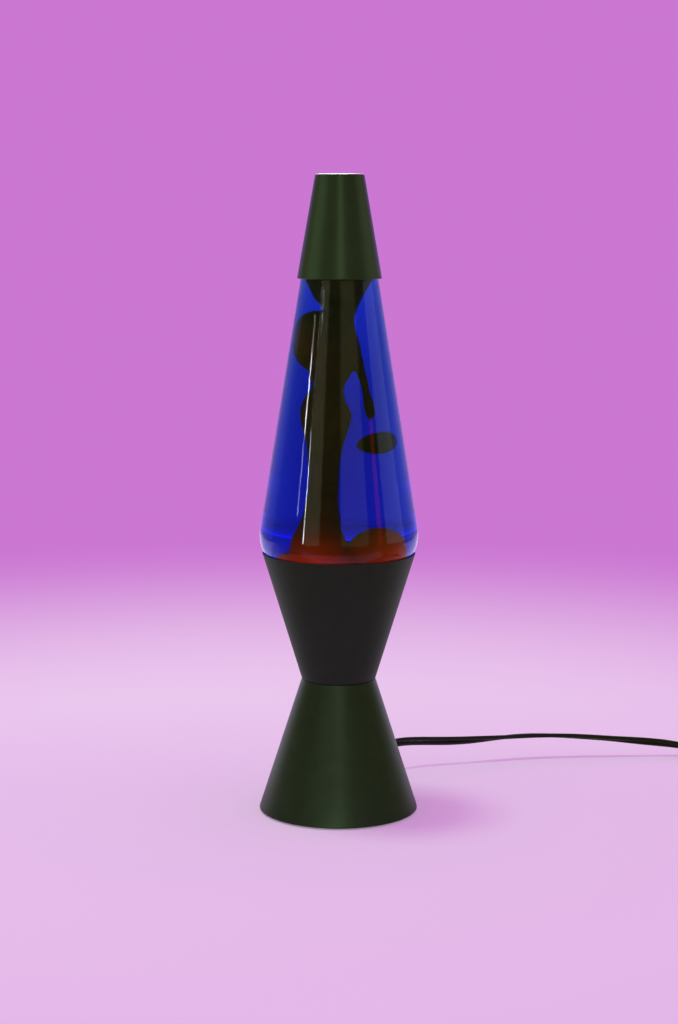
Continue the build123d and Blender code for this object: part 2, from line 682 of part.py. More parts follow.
def cord_cores():
    """The insulation and the wires: one core runs through, and the switch cuts the other."""
    line = cord_line()
    cy = SWITCH_CENTRE[1]
    cut_in = place_at(line, cy + SWITCH_LENGTH / 2 - 8)
    cut_out = place_at(line, cy - SWITCH_LENGTH / 2 + 8)
    runs = [core_line(1, 0.0, 1.0, line), core_line(-1, 0.0, cut_in, line),
            core_line(-1, cut_out, 1.0, line)]
    bore = Circle(WIRE_RADIUS + 0.04)
    insulation = [along_line(Circle(CORE_RADIUS), run) - along_line(bore, run) for run in runs]
    wires = [along_line(Circle(WIRE_RADIUS), run) for run in runs]
    return Compound(insulation), Compound(wires)


def lead_wires():
    """The cord's two cores, parted inside the base and led to the socket's terminals."""
    point, out = cord_exit()
    start = point - out * 12.2
    up = (Vector(0, 0, 1) - out * out.Z).normalized() * CORE_SPACING
    reach = SOCKET_RADIUS + TERMINAL_HEAD[1] + 1.5
    near = Spline(start + up, (6, 21, 17), (2, 20, 34), (0, reach + 0.6, TERMINAL_Z - 5),
                  (0, reach, TERMINAL_Z), tangents=[out * -1, Vector(0, -0.3, 1)])
    far = Spline(start - up, (-4, 19, 12), (-19, 6, 19), (-16, -12, 30), (-3, -18.5, 42),
                 (0, -reach, TERMINAL_Z), tangents=[out * -1, Vector(0, 0.3, 1)])
    return Compound([along_line(Circle(1.15), path) for path in (near, far)])


def switch_block(low, high):
    """The switch's outer shape between two heights, its long sides along Y."""
    face = RectangleRounded(SWITCH_WIDTH, SWITCH_LENGTH, 6.0)
    return Pos(*SWITCH_CENTRE, low) * extrude(face, amount=high - low)


def switch_hollow(low, high):
    width, length = SWITCH_WIDTH - 2 * SWITCH_WALL, SWITCH_LENGTH - 2 * SWITCH_WALL
    return Pos(*SWITCH_CENTRE, low) * extrude(RectangleRounded(width, length, 4.4),
                                              amount=high - low)


SWITCH_POST = (5.7, -12.0)  # the case screw's place, from the switch's centre


def switch_cuts():
    """The axle's bearing, the cord's two ways in and the case screw's hole."""
    cx, cy = SWITCH_CENTRE
    axle = bar(AXLE_RADIUS + 0.02, (cx - 9.4, cy, SPLIT_Z), (cx + 9.4, cy, SPLIT_Z))
    way = extrude(Plane.XZ * (Rot(0, 0, 90) * cord_slot(0.3)), amount=SWITCH_LENGTH, both=True)
    return [axle, Pos(cx, cy, SWITCH_CORD_Z) * way,
            rod(1.15, 2.4, SWITCH_HEIGHT + 1, cx + SWITCH_POST[0], cy + SWITCH_POST[1])]


def switch_lower_case():
    block = switch_block(0, SPLIT_Z)
    block = fillet(block.edges().group_by(Axis.Z)[0], 1.2)
    post = rod(2.4, SWITCH_WALL, SPLIT_Z, SWITCH_CENTRE[0] + SWITCH_POST[0],
               SWITCH_CENTRE[1] + SWITCH_POST[1])
    return block - switch_hollow(SWITCH_WALL, SPLIT_Z + 1) + post - switch_cuts()


def switch_upper_case():
    """The top half, with the window that the thumbwheel stands out of."""
    cx, cy = SWITCH_CENTRE
    block = switch_block(SPLIT_Z + 0.02, SWITCH_HEIGHT)
    block = fillet(block.edges().group_by(Axis.Z)[-1], 1.6)
    window = Pos(cx, cy, SWITCH_HEIGHT) * Box(2 * WHEEL_HALF + 1.0, 15.0, 8.0)
    head = rod(2.1, SWITCH_HEIGHT - 1.2, SWITCH_HEIGHT + 1, cx + SWITCH_POST[0],
               cy + SWITCH_POST[1])
    post = rod(2.4, SPLIT_Z + 0.02, SWITCH_HEIGHT - 1.6, cx + SWITCH_POST[0],
               cy + SWITCH_POST[1])
    hollow = switch_hollow(SPLIT_Z - 1, SWITCH_HEIGHT - SWITCH_WALL)
    return block - hollow + post - window - head - switch_cuts()


def switch_wheel():
    """The ribbed thumbwheel, free to turn on its axle."""
    cx, cy = SWITCH_CENTRE
    ribs = 28
    disc = Cylinder(WHEEL_RADIUS, 2 * WHEEL_HALF)
    disc = chamfer(disc.edges(), 0.4)
    grooves = around(Pos(WHEEL_RADIUS + 0.15, 0, 0) * Cylinder(0.5, 8), ribs)
    wheel = disc - grooves - Cylinder(AXLE_RADIUS + FIT_GAP, 8)
    return Pos(cx, cy, SPLIT_Z) * Rot(0, 90, 0) * wheel


def switch_axle():
    cx, cy = SWITCH_CENTRE
    return bar(AXLE_RADIUS, (cx - 9.2, cy, SPLIT_Z), (cx + 9.2, cy, SPLIT_Z))


def switch_contacts():
    """Two brass leaves under the wheel, each joined to one end of the cut core."""
    cx, cy = SWITCH_CENTRE
    leaf = outline([(3.0, 1.9), (11.0, 1.7), (15.0, 1.7), (15.0, 2.2), (11.0, 2.2), (3.0, 2.4)])
    strip = Rot(0, 0, 90) * extrude(leaf, amount=1.8, both=True)
    return Pos(cx - 0.5, cy, 0) * Compound([strip, Rot(0, 0, 180) * strip])


def switch_screw():
    x, y = SWITCH_CENTRE[0] + SWITCH_POST[0], SWITCH_CENTRE[1] + SWITCH_POST[1]
    seat = SWITCH_HEIGHT - 1.2
    head = fillet(rod(2.0, seat, seat + 1.1, x, y).edges().group_by(Axis.Z)[-1], 0.4)
    slot = Pos(x, y, seat + 1.1) * Box(6, 0.7, 1.0)
    return head + rod(1.1, 3.0, seat, x, y) - slot


BLADE_SPACING = 12.7
BLADE_THICKNESS, BLADE_LENGTH = 1.5, 16.0
BLADE_ROOT = 6.0
BLADE_WIDTHS = (6.35, 7.9)  # the wider blade is the neutral one


def plug_blades(clearance=0.0):
    blades = []
    for side, width in zip((-1, 1), BLADE_WIDTHS):
        half = width / 2 + clearance
        tip, root = PLUG_FACE_Y - BLADE_LENGTH, PLUG_FACE_Y + BLADE_ROOT + clearance
        face = make_face(Polyline((root, -half), (tip + 1.5, -half), (tip, -half + 1.2),
                                  (tip, half - 1.2), (tip + 1.5, half), (root, half),
                                  (root, -half)))
        blade = extrude(Plane.YZ * face, amount=BLADE_THICKNESS / 2 + clearance, both=True)
        if not clearance:
            blade -= Rot(0, 90, 0) * (Pos(0, tip + 4.5) * Cylinder(1.6, 6))
        blades.append(Pos(PLUG_CENTRE_X + side * BLADE_SPACING / 2, 0, PLUG_Z) * blade)
    return Compound(blades)


def plug_body():
    """The moulded plug, tapered to its ribbed strain relief."""
    stations = ((PLUG_FACE_Y, 24.0, 14.0, 3.0), (PLUG_FACE_Y + 9, 23.0, 14.0, 4.0),
                (PLUG_BACK_Y - 7, 15.0, 11.0, 4.0))
    faces = [Pos(PLUG_CENTRE_X, y, PLUG_Z) * (Rot(90, 0, 0) * RectangleRounded(w, h, r))
             for y, w, h, r in stations]
    grip = loft(faces, ruled=True)
    relief = bar(4.3, (PLUG_CENTRE_X, PLUG_BACK_Y - 8, PLUG_Z), (PLUG_CENTRE_X, PLUG_BACK_Y, PLUG_Z))
    for y in (PLUG_BACK_Y - 4.5, PLUG_BACK_Y - 1.5):
        ring = bar(6.0, (PLUG_CENTRE_X, y, PLUG_Z), (PLUG_CENTRE_X, y + 1.4, PLUG_Z))
        relief -= ring - bar(3.6, (PLUG_CENTRE_X, y - 1, PLUG_Z), (PLUG_CENTRE_X, y + 3, PLUG_Z))
    way = Pos(PLUG_CENTRE_X, PLUG_BACK_Y - 9.2, PLUG_Z) * extrude(
        Plane.XZ * (Rot(0, 0, 90) * cord_slot(0.25)), amount=-14)
    return grip + relief - way - plug_blades(0.03)


# ---- Write one file to each node ----------------------------------------------------------------
def build():
    wax = wax_mass()
    insulation, wires = cord_cores()
    return {
        "lower_cone": lower_cone(),
        "upper_cone": upper_cone(),
        "waist_rivets": waist_rivets(),
        "socket_bracket": socket_bracket(),
        "bottom_cover": bottom_cover(),
        "foot_pads": foot_pads(),
        "cord_grommet": cord_grommet(),
        "socket_body": socket_body(),
        "socket_screw": socket_screw(),
        "socket_shell": socket_shell(),
        "socket_contact": socket_contact(),
        "terminal_screws": terminal_screws(),
        "bulb_envelope": bulb_envelope(),
        "bulb_stem": bulb_stem(),
        "bulb_shell": bulb_shell(),
        "bulb_insulator": bulb_insulator(),
        "bulb_tip": bulb_tip(),
        "bulb_filament": bulb_filament(),
        "glass_globe": glass_globe(),
        "crown_cap": crown_cap(),
        "crown_liner": crown_liner(),
        "top_cap": top_cap(),
        "heating_coil": heating_coil(),
        "wax_mass": wax,
        "wax_blob": wax_blob(),
        "liquid": liquid(wax),
        "cord_insulation": insulation,
        "cord_wires": wires,
        "lead_wires": lead_wires(),
        "switch_lower_case": switch_lower_case(),
        "switch_upper_case": switch_upper_case(),
        "switch_wheel": switch_wheel(),
        "switch_axle": switch_axle(),
        "switch_contacts": switch_contacts(),
        "switch_screw": switch_screw(),
        "plug_body": plug_body(),
        "plug_blades": plug_blades(),
    }


os.makedirs("parts", exist_ok=True)
for node, shape in build().items():
    export_step(shape, f"parts/{node}.step")
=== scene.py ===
import math

import bpy
import bmesh
import numpy as np
from mathutils import Matrix, Vector


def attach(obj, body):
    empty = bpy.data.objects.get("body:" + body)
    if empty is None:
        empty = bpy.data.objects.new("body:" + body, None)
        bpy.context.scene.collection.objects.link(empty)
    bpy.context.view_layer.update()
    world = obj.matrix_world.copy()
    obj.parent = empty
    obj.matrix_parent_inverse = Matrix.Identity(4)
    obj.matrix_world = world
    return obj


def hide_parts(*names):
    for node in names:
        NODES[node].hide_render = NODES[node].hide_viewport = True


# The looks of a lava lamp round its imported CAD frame.  Metres, +Z up, the lamp's axis is the
# Z axis, the front faces -Y.  Driving dimensions and mesh vertices are in millimetres.

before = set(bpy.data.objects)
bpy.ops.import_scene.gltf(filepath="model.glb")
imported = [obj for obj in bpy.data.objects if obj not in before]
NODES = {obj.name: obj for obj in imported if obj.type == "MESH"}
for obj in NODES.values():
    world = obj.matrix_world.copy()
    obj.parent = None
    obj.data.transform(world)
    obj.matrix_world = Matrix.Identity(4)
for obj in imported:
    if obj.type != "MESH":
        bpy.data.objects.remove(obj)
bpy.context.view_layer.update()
MM = 0.001

# ---- Driving dimensions -------------------------------------------------------------------------
LATHE_STEPS = 192
ARC_STEP = math.radians(5.0)
RING_GAP = 0.8

RIM_RADIUS, RIM_Z, CONE_WALL = 44.3, 152.4, 0.9
WAIST_RADIUS, WAIST_Z = 21.4, 78.3
SEAT_GAP = 0.06
FLOOR_Z, GLASS_WALL, GLASS_FLOOR = 124.0, 2.2, 4.0
HEEL_ANGLE, TAPER_ANGLE, BELLY_ROUNDING = 27.0, 9.2, 22.0
SHOULDER_Z, NECK_RADIUS, FINISH_RADIUS = 327.0, 11.6, 13.3
MOUTH_RADIUS, MOUTH_Z = 8.6, 348.6
LIQUID_LEVEL = 322.0
POOL_LEVEL = 141.0
FILM = 0.04
CROWN_TOP_Z, CROWN_FOOT_Z, CROWN_GAUGE = MOUTH_Z + 1.0, MOUTH_Z - 5.6, 0.3
CROWN_FLUTES, FLUTE_DEPTH = 21, 0.6
SILVER_TOP = 96.0

# Horizontal rings of the risen wax: height, centre's x, x radius, y radius.
COLUMN = (
    (138.0, -8.6, 12.4, 13.0), (157.0, -8.5, 11.8, 12.5), (161.6, -8.5, 10.7, 11.3),
    (165.3, -8.3, 9.4, 10.0), (171.1, -7.5, 8.2, 8.8), (182.7, -6.9, 6.8, 7.5),
    (194.5, -6.2, 6.4, 7.2), (208.9, -6.1, 7.1, 7.6), (217.6, -5.8, 8.4, 8.6),
    (223.3, -5.65, 9.7, 9.4), (231.9, -5.7, 10.7, 10.2), (240.5, -6.05, 8.55, 8.8),
    (247.4, -4.6, 6.7, 7.4), (253.1, -4.0, 8.4, 8.4), (258.8, -3.1, 9.2, 9.2),
    (263.4, 0.0, 8.7, 8.8), (271.9, 0.4, 7.9, 8.4), (280.5, 0.3, 6.2, 7.0),
    (286.1, 0.1, 6.0, 6.6), (290.4, 0.4, 6.6, 6.8), (297.5, -0.6, 9.9, 9.7),
    (303.1, -0.45, 11.95, 12.0), (308.8, -0.3, 14.3, 14.2), (314.0, -0.4, 15.8, 15.6),
    (319.4, -0.2, 16.3, 16.1),
)
DRIP = (
    (268.0, 6.3, 2.2, 2.6), (262.0, 7.7, 2.3, 2.4), (257.0, 8.5, 2.1, 2.1),
    (251.0, 9.9, 1.8, 1.8), (244.0, 11.1, 1.65, 1.65), (238.0, 12.1, 2.2, 2.2),
    (234.5, 12.6, 2.35, 2.35), (231.5, 12.85, 2.0, 2.0), (229.6, 13.0, 1.3, 1.3),
    (228.3, 13.1, 0.5, 0.5),
)
LEDGE = (
    (138.0, -9.0, 17.6, 18.6), (154.0, -9.0, 17.6, 18.6), (155.4, -9.0, 17.2, 18.2),
    (156.0, -9.0, 16.0, 17.0),
)
# Ellipsoids of wax: centre, radii, tilt in degrees.
LOBE = ((-8.6, 0, 272.8), (12.2, 11.0, 17.8), -3.0)
MOUND = ((16.4, 0, 151.6), (13.4, 13.0, 14.8), 0.0)
BLOB = ((16.0, 0, 215.0), (9.0, 8.4, 6.2), -9.0)


# ---- Meshes -------------------------------------------------------------------------------------
def corner(before, here, after, rounding):
    """Points along a round corner of an open outline, each (radius, z)."""
    u = np.array(before[:2], float) - np.array(here[:2], float)
    v = np.array(after[:2], float) - np.array(here[:2], float)
    u, v = u / np.linalg.norm(u), v / np.linalg.norm(v)
    half = 0.5 * math.acos(max(-1.0, min(1.0, float(u @ v))))
    middle = np.array(here[:2], float) + (u + v) / np.linalg.norm(u + v) * rounding / math.sin(half)
    start = np.array(here[:2], float) + u * rounding / math.tan(half)
    end = np.array(here[:2], float) + v * rounding / math.tan(half)
    a, b = start - middle, end - middle
    turn = math.pi - 2 * half
    side = 1.0 if a[0] * b[1] - a[1] * b[0] > 0 else -1.0
    steps = max(2, math.ceil(turn / ARC_STEP))
    points = []
    for i in range(steps + 1):
        t = side * turn * i / steps
        c, s = math.cos(t), math.sin(t)
        points.append((middle[0] + a[0] * c - a[1] * s, middle[1] + a[0] * s + a[1] * c))
    return points


def rounded(points):
    """An open outline with its corners rounded.  Each point is (r, z) or (r, z, rounding)."""
    out = []
    for i, p in enumerate(points):
        if len(p) == 3 and p[2] > 0 and 0 < i < len(points) - 1:
            out.extend(corner(points[i - 1], p, points[i + 1], p[2]))
        else:
            out.append((p[0], p[1]))
    return out


def inset(points, wall):
    """An open outline moved to its left by wall, with its round corners kept parallel."""
    lines = []
    for a, b in zip(points, points[1:]):
        dx, dz = b[0] - a[0], b[1] - a[1]
        length = math.hypot(dx, dz)
        lines.append((a[0] - dz / length * wall, a[1] + dx / length * wall, dx, dz))
    moved = [(lines[0][0], lines[0][1], 0)]
    for (ax, az, adx, adz), (bx, bz, bdx, bdz), p in zip(lines, lines[1:], points[1:]):
        cross = adx * bdz - adz * bdx
        t = ((bx - ax) * bdz - (bz - az) * bdx) / cross
        rounding = p[2] if len(p) == 3 else 0
        kept = rounding - wall if cross > 0 else rounding + wall
        moved.append((ax + adx * t, az + adz * t, max(kept, 0) if rounding else 0))
    x, z, dx, dz = lines[-1]
    moved.append((x + dx, z + dz, 0))
    return moved


def new_object(name, verts, faces, slots=None):
    """A smooth-shaded object from vertices in millimetres."""
    mesh = bpy.data.meshes.new(name)
    mesh.from_pydata([(x * MM, y * MM, z * MM) for x, y, z in verts], [], faces)
    if slots:
        mesh.polygons.foreach_set("material_index", slots)
    mesh.polygons.foreach_set("use_smooth", [True] * len(mesh.polygons))
    mesh.update()
    obj = bpy.data.objects.new(name, mesh)
    bpy.context.scene.collection.objects.link(obj)
    return obj


def lathe(name, profile, slot_of=None, steps=LATHE_STEPS):
    """A closed surface of revolution.  Its profile is a closed ring, or runs axis to axis."""
    verts, faces, slots = [], [], []
    on_axis = profile[0][0] < 1e-6 and profile[-1][0] < 1e-6
    rings = []
    for r, z in profile:
        if r < 1e-6:
            rings.append([len(verts)])
            verts.append((0, 0, z))
            continue
        rings.append(list(range(len(verts), len(verts) + steps)))
        for i in range(steps):
            a = 2 * math.pi * i / steps
            verts.append((r * math.cos(a), r * math.sin(a), z))
    last = len(rings) - 1 if on_axis else len(rings)
    for k in range(last):
        low, high = rings[k], rings[(k + 1) % len(rings)]
        middle = [(profile[k][j] + profile[(k + 1) % len(rings)][j]) / 2 for j in (0, 1)]
        slot = slot_of(k, *middle) if slot_of else 0
        for i in range(steps):
            j = (i + 1) % steps
            if len(low) == 1 and len(high) == 1:
                continue
            if len(low) == 1:
                faces.append((low[0], high[j], high[i]))
            elif len(high) == 1:
                faces.append((low[i], low[j], high[0]))
            else:
                faces.append((low[i], low[j], high[j], high[i]))
            slots.append(slot)
    return new_object(name, verts, faces, slots)


def ring_stack(name, rings, steps=48):
    """A closed surface through horizontal ellipses, smoothed between them."""
    rings = sorted(rings)
    z = np.array([r[0] for r in rings])
    rows = []
    heights = np.linspace(z[0], z[-1], int((z[-1] - z[0]) / RING_GAP) + 2)
    columns = [np.array([r[k] for r in rings]) for k in (1, 2, 3)]
    slopes = [np.gradient(c, z) for c in columns]
    for height in heights:
        i = min(max(int(np.searchsorted(z, height)) - 1, 0), len(z) - 2)
        h = z[i + 1] - z[i]
        t = (height - z[i]) / h
        values = []
        for c, m in zip(columns, slopes):
            a = (1 + 2 * t) * (1 - t) ** 2 * c[i] + t * (1 - t) ** 2 * h * m[i]
            b = t * t * (3 - 2 * t) * c[i + 1] + t * t * (t - 1) * h * m[i + 1]
            values.append(a + b)
        rows.append((height, *values))
    verts, faces = [], []
    for height, x, rx, ry in rows:
        for i in range(steps):
            a = 2 * math.pi * i / steps
            verts.append((x + rx * math.cos(a), ry * math.sin(a), height))
    for k in range(len(rows) - 1):
        for i in range(steps):
            j = (i + 1) % steps
            faces.append((k * steps + i, k * steps + j, (k + 1) * steps + j, (k + 1) * steps + i))
    faces.append(tuple(range(steps))[::-1])
    top = (len(rows) - 1) * steps
    faces.append(tuple(range(top, top + steps)))
    return new_object(name, verts, faces)


def ball(name, centre, radii, tilt, blunt=0.0):
    """An ellipsoid, tilted about the Y direction and fuller on its +X side where blunt > 0."""
    mesh = bpy.data.meshes.new(name)
    bm = bmesh.new()
    bmesh.ops.create_icosphere(bm, subdivisions=5, radius=1.0)
    for vert in bm.verts:
        vert.co.y *= 1 + blunt * vert.co.x
        vert.co.z *= 1 + blunt * vert.co.x
    place = (Matrix.Translation(Vector(centre) * MM)
             @ Matrix.Rotation(math.radians(tilt), 4, "Y")
             @ Matrix.Diagonal((*[r * MM for r in radii], 1)))
    bmesh.ops.transform(bm, matrix=place, verts=bm.verts)
    bm.to_mesh(mesh)
    bm.free()
    mesh.polygons.foreach_set("use_smooth", [True] * len(mesh.polygons))
    obj = bpy.data.objects.new(name, mesh)
    bpy.context.scene.collection.objects.link(obj)
    return obj


def merged(name, parts, voxel, smooth, repeat):
    """One smooth closed mesh from overlapping closed ones."""
    bm = bmesh.new()
    for part in parts:
        bm.from_mesh(part.data)
        bpy.data.objects.remove(part)
    mesh = bpy.data.meshes.new(name)
    bm.to_mesh(mesh)
    bm.free()
    obj = bpy.data.objects.new(name, mesh)
    bpy.context.scene.collection.objects.link(obj)
    remesh = obj.modifiers.new("remesh", "REMESH")
    remesh.mode = "VOXEL"
    remesh.voxel_size = voxel * MM
    even = obj.modifiers.new("even", "SMOOTH")
    even.factor, even.iterations = smooth, repeat
    bpy.context.view_layer.update()
    done = bpy.data.meshes.new_from_object(obj.evaluated_get(
        bpy.context.evaluated_depsgraph_get()))
    obj.modifiers.clear()
    obj.data = done
    done.polygons.foreach_set("use_smooth", [True] * len(done.polygons))
    return obj


# ---- Materials ----------------------------------------------------------------------------------
def material(name):
    """A new node material, its nodes, its links and its Principled node."""
    mat = bpy.data.materials.new(name)
    mat.use_nodes = True
    nodes, links = mat.node_tree.nodes, mat.node_tree.links
    return mat, nodes, links, nodes["Principled BSDF"]


def coordinates(nodes, links, stretch=(1, 1, 1)):
    """Object coordinates, stretched."""
    where = nodes.new("ShaderNodeTexCoord")
    mapping = nodes.new("ShaderNodeMapping")
    mapping.inputs["Scale"].default_value = stretch
    links.new(where.outputs["Object"], mapping.inputs["Vector"])
    return mapping.outputs["Vector"]


def noise(nodes, links, scale, detail=3.0, stretch=(1, 1, 1)):
    """A noise value between 0 and 1 in object coordinates."""
    node = nodes.new("ShaderNodeTexNoise")
    node.inputs["Scale"].default_value = scale
    node.inputs["Detail"].default_value = detail
    links.new(coordinates(nodes, links, stretch), node.inputs["Vector"])
    return node.outputs["Fac"]


def ramp(nodes, links, value, stops):
    """A colour ramp of (place, colour) stops driven by a value."""
    node = nodes.new("ShaderNodeValToRGB")
    marks = node.color_ramp.elements
    while len(marks) < len(stops):
        marks.new(0.5)
    for mark, (place, colour) in zip(marks, stops):
        mark.position = place
        mark.color = (*colour, 1)
    links.new(value, node.inputs["Fac"])
    return node.outputs["Color"]


def between(nodes, links, value, low, high):
    """A value from 0..1 mapped to low..high."""
    node = nodes.new("ShaderNodeMapRange")
    node.inputs["To Min"].default_value = low
    node.inputs["To Max"].default_value = high
    links.new(value, node.inputs["Value"])
    return node.outputs["Result"]


def bump(nodes, links, shader, height, strength, distance):
    """Bumps a shader's surface by a height value, distance in millimetres deep."""
    node = nodes.new("ShaderNodeBump")
    node.inputs["Strength"].default_value = strength
    node.inputs["Distance"].default_value = distance * MM
    links.new(height, node.inputs["Height"])
    links.new(node.outputs["Normal"], shader.inputs["Normal"])


def finish_of(name, dark, light, metallic, rough, grain=900.0, depth=0.02, coat=0.0, strength=0.3,
              coat_rough=0.2, stretch=(1, 1, 1), specular=0.5):
    """A surface with a mottled colour, uneven roughness and a fine grain."""
    mat, nodes, links, shader = material(name)
    mottle = noise(nodes, links, grain * 0.08, 4.0, stretch)
    links.new(ramp(nodes, links, mottle, [(0.3, dark), (0.7, light)]), shader.inputs["Base Color"])
    shader.inputs["Metallic"].default_value = metallic
    fine = noise(nodes, links, grain, 2.0, stretch)
    links.new(between(nodes, links, fine, rough[0], rough[1]), shader.inputs["Roughness"])
    shader.inputs["Coat Weight"].default_value = coat
    shader.inputs["Coat Roughness"].default_value = coat_rough
    shader.inputs["Specular IOR Level"].default_value = specular
    bump(nodes, links, shader, fine, strength, depth)
    return mat


def shadow_clear(nodes, links, shader):
    """Lets shadow rays pass a clear material, so that what is inside is lit directly."""
    path = nodes.new("ShaderNodeLightPath")
    through = nodes.new("ShaderNodeBsdfTransparent")
    mix = nodes.new("ShaderNodeMixShader")
    links.new(path.outputs["Is Shadow Ray"], mix.inputs["Fac"])
    links.new(shader.outputs["BSDF"], mix.inputs[1])
    links.new(through.outputs["BSDF"], mix.inputs[2])
    links.new(mix.outputs["Shader"], nodes["Material Output"].inputs["Surface"])


def clear_glass(name, ior, rough=0.0):
    """Refracting glass or a liquid's surface, with faint smears in its polish."""
    mat, nodes, links, shader = material(name)
    shader.inputs["Base Color"].default_value = (1, 1, 1, 1)
    shader.inputs["Transmission Weight"].default_value = 1.0
    shader.inputs["IOR"].default_value = ior
    smears = noise(nodes, links, 60.0, 3.0)
    links.new(between(nodes, links, smears, rough, rough + 0.004), shader.inputs["Roughness"])
    shadow_clear(nodes, links, shader)
    return mat


def invisible(name):
    """A surface where two media of one refractive index meet, so that light passes straight."""
    mat, nodes, links, shader = material(name)
    nodes.remove(shader)
    through = nodes.new("ShaderNodeBsdfTransparent")
    links.new(through.outputs["BSDF"], nodes["Material Output"].inputs["Surface"])
    return mat


def liquid_material():
    """A dyed liquid that absorbs light along its path.  Its glass wall does the refracting."""
    mat = invisible("blue_liquid")
    nodes, links = mat.node_tree.nodes, mat.node_tree.links
    dye = nodes.new("ShaderNodeVolumeAbsorption")
    dye.inputs["Color"].default_value = (0.0, 0.52, 0.93, 1)
    dye.inputs["Density"].default_value = 130.0
    links.new(dye.outputs["Volume"], nodes["Material Output"].inputs["Volume"])
    return mat


def blend(nodes, links, share, first, second):
    """A colour between two colours or colour outputs."""
    node = nodes.new("ShaderNodeMix")
    node.data_type = "RGBA"
    links.new(share, node.inputs["Factor"])
    for slot, colour in (("A", first), ("B", second)):
        if isinstance(colour, tuple):
            node.inputs[slot].default_value = (*colour, 1)
        else:
            links.new(colour, node.inputs[slot])
    return node.outputs["Result"]


def step(nodes, links, value, start, end, smooth=True):
    """0..1 as value goes from start to end."""
    node = nodes.new("ShaderNodeMapRange")
    node.interpolation_type = "SMOOTHSTEP" if smooth else "LINEAR"
    node.inputs["From Min"].default_value = start
    node.inputs["From Max"].default_value = end
    links.new(value, node.inputs["Value"])
    return node.outputs["Result"]


def maths(nodes, links, operation, first, second):
    """The result of a math operation on two values or value outputs."""
    node = nodes.new("ShaderNodeMath")
    node.operation = operation
    for slot, value in enumerate((first, second)):
        if isinstance(value, float):
            node.inputs[slot].default_value = value
        else:
            links.new(value, node.inputs[slot])
    return node.outputs["Value"]


def part_of(nodes, links, vector, axis):
    """One component of a vector output."""
    split = nodes.new("ShaderNodeSeparateXYZ")
    links.new(vector, split.inputs["Vector"])
    return split.outputs[axis]


def along(nodes, links, axis, start, end):
    """How far a point lies from start to end along an object axis, in millimetres, as 0..1."""
    where = nodes.new("ShaderNodeTexCoord")
    place = part_of(nodes, links, where.outputs["Object"], axis)
    return step(nodes, links, place, start * MM, end * MM, smooth=False)


WAX_TONES = ((0.046, 0.020, 0.001), (0.078, 0.042, 0.003))
# Painted light: emission colours that stand in for the bulb's red light shining up through the wax,
# since no bulb is lit in the scene.
GLOW_FOOT_Z, GLOW_TOP_Z = 150.0, 290.0
COLUMN_GLOW = (
    (0.0, (0.40, 0.002, 0.0)), (0.035, (0.55, 0.003, 0.0)), (0.055, (0.85, 0.004, 0.0)),
    (0.09, (0.34, 0.002, 0.0)), (0.15, (0.12, 0.001, 0.0)), (0.23, (0.055, 0.001, 0.0)),
    (0.46, (0.028, 0.002, 0.0)), (0.71, (0.012, 0.0012, 0.0)), (1.0, (0.0, 0.0, 0.0)),
)
MOUND_GLOW = (0.40, 0.006, 0.0)
POOL_END_GLOW = (0.06, 0.001, 0.0)


def painted_bulb_light(nodes, links):
    """Painted glow for the bulb's red light in the wax: red at the column's foot, even on the
    mound, and weak where the pool meets the glass.
    """
    def zone(axis, start, end):
        return along(nodes, links, axis, start, end)

    red = ramp(nodes, links, zone("Z", GLOW_FOOT_Z, GLOW_TOP_Z), COLUMN_GLOW)
    mound_height = maths(nodes, links, "MULTIPLY", zone("Z", 152.0, 160.0), zone("Z", 182.0, 172.0))
    mound = maths(nodes, links, "MULTIPLY", zone("X", 6.0, 13.0), mound_height)
    outward = maths(nodes, links, "MAXIMUM", zone("X", -12.0, -28.0), zone("X", 15.0, 31.0))
    ends = maths(nodes, links, "MULTIPLY", zone("Z", 158.0, 152.0), outward)
    warm = blend(nodes, links, mound, red, MOUND_GLOW)
    return blend(nodes, links, ends, warm, POOL_END_GLOW)


def wax_material(name, glow):
    """Dark wax with a soft sheen.  Above 0, glow is the strength of a painted glow, an emission
    standing in for the bulb's red light shining through the wax.
    """
    mat, nodes, links, shader = material(name)
    mottle = noise(nodes, links, 90.0, 4.0)
    tones = [(0.3, WAX_TONES[0]), (0.7, WAX_TONES[1])]
    links.new(ramp(nodes, links, mottle, tones), shader.inputs["Base Color"])
    shader.inputs["Roughness"].default_value = 0.5
    shader.inputs["Specular IOR Level"].default_value = 0.04
    # Painted light: the bulb's red is given to the wax as an emission.
    if glow > 0:
        links.new(painted_bulb_light(nodes, links), shader.inputs["Emission Color"])
        shader.inputs["Emission Strength"].default_value = glow
    bump(nodes, links, shader, noise(nodes, links, 300.0, 2.0), 0.15, 0.05)
    return mat


def dress(obj, *mats):
    """Gives obj its materials.  Its faces keep their slot numbers."""
    slots = obj.data.materials
    for i, mat in enumerate(mats):
        if i < len(slots):
            slots[i] = mat
        else:
            slots.append(mat)


GREEN_PAINT = finish_of("green_black_paint", (0.023, 0.047, 0.022), (0.028, 0.055, 0.026), 0.7,
                        (0.38, 0.46), grain=1400, depth=0.012, coat=0.15, coat_rough=0.35)
CAP_PAINT = finish_of("cap_paint", (0.033, 0.068, 0.027), (0.038, 0.078, 0.032), 0.7,
                      (0.31, 0.38), grain=1400, depth=0.012, coat=0.15, coat_rough=0.35)
BLACK_PAINT = finish_of("black_paint", (0.0125, 0.031, 0.0120), (0.0145, 0.035, 0.0140), 0.0,
                        (0.46, 0.54), grain=1600, depth=0.012, specular=0.27)
STEEL = finish_of("plated_steel", (0.42, 0.42, 0.41), (0.52, 0.52, 0.50), 1.0, (0.24, 0.36),
                  grain=700, depth=0.01, stretch=(1, 1, 4))
BRASS = finish_of("brass", (0.50, 0.34, 0.12), (0.62, 0.44, 0.18), 1.0, (0.24, 0.38), grain=700,
                  depth=0.01)
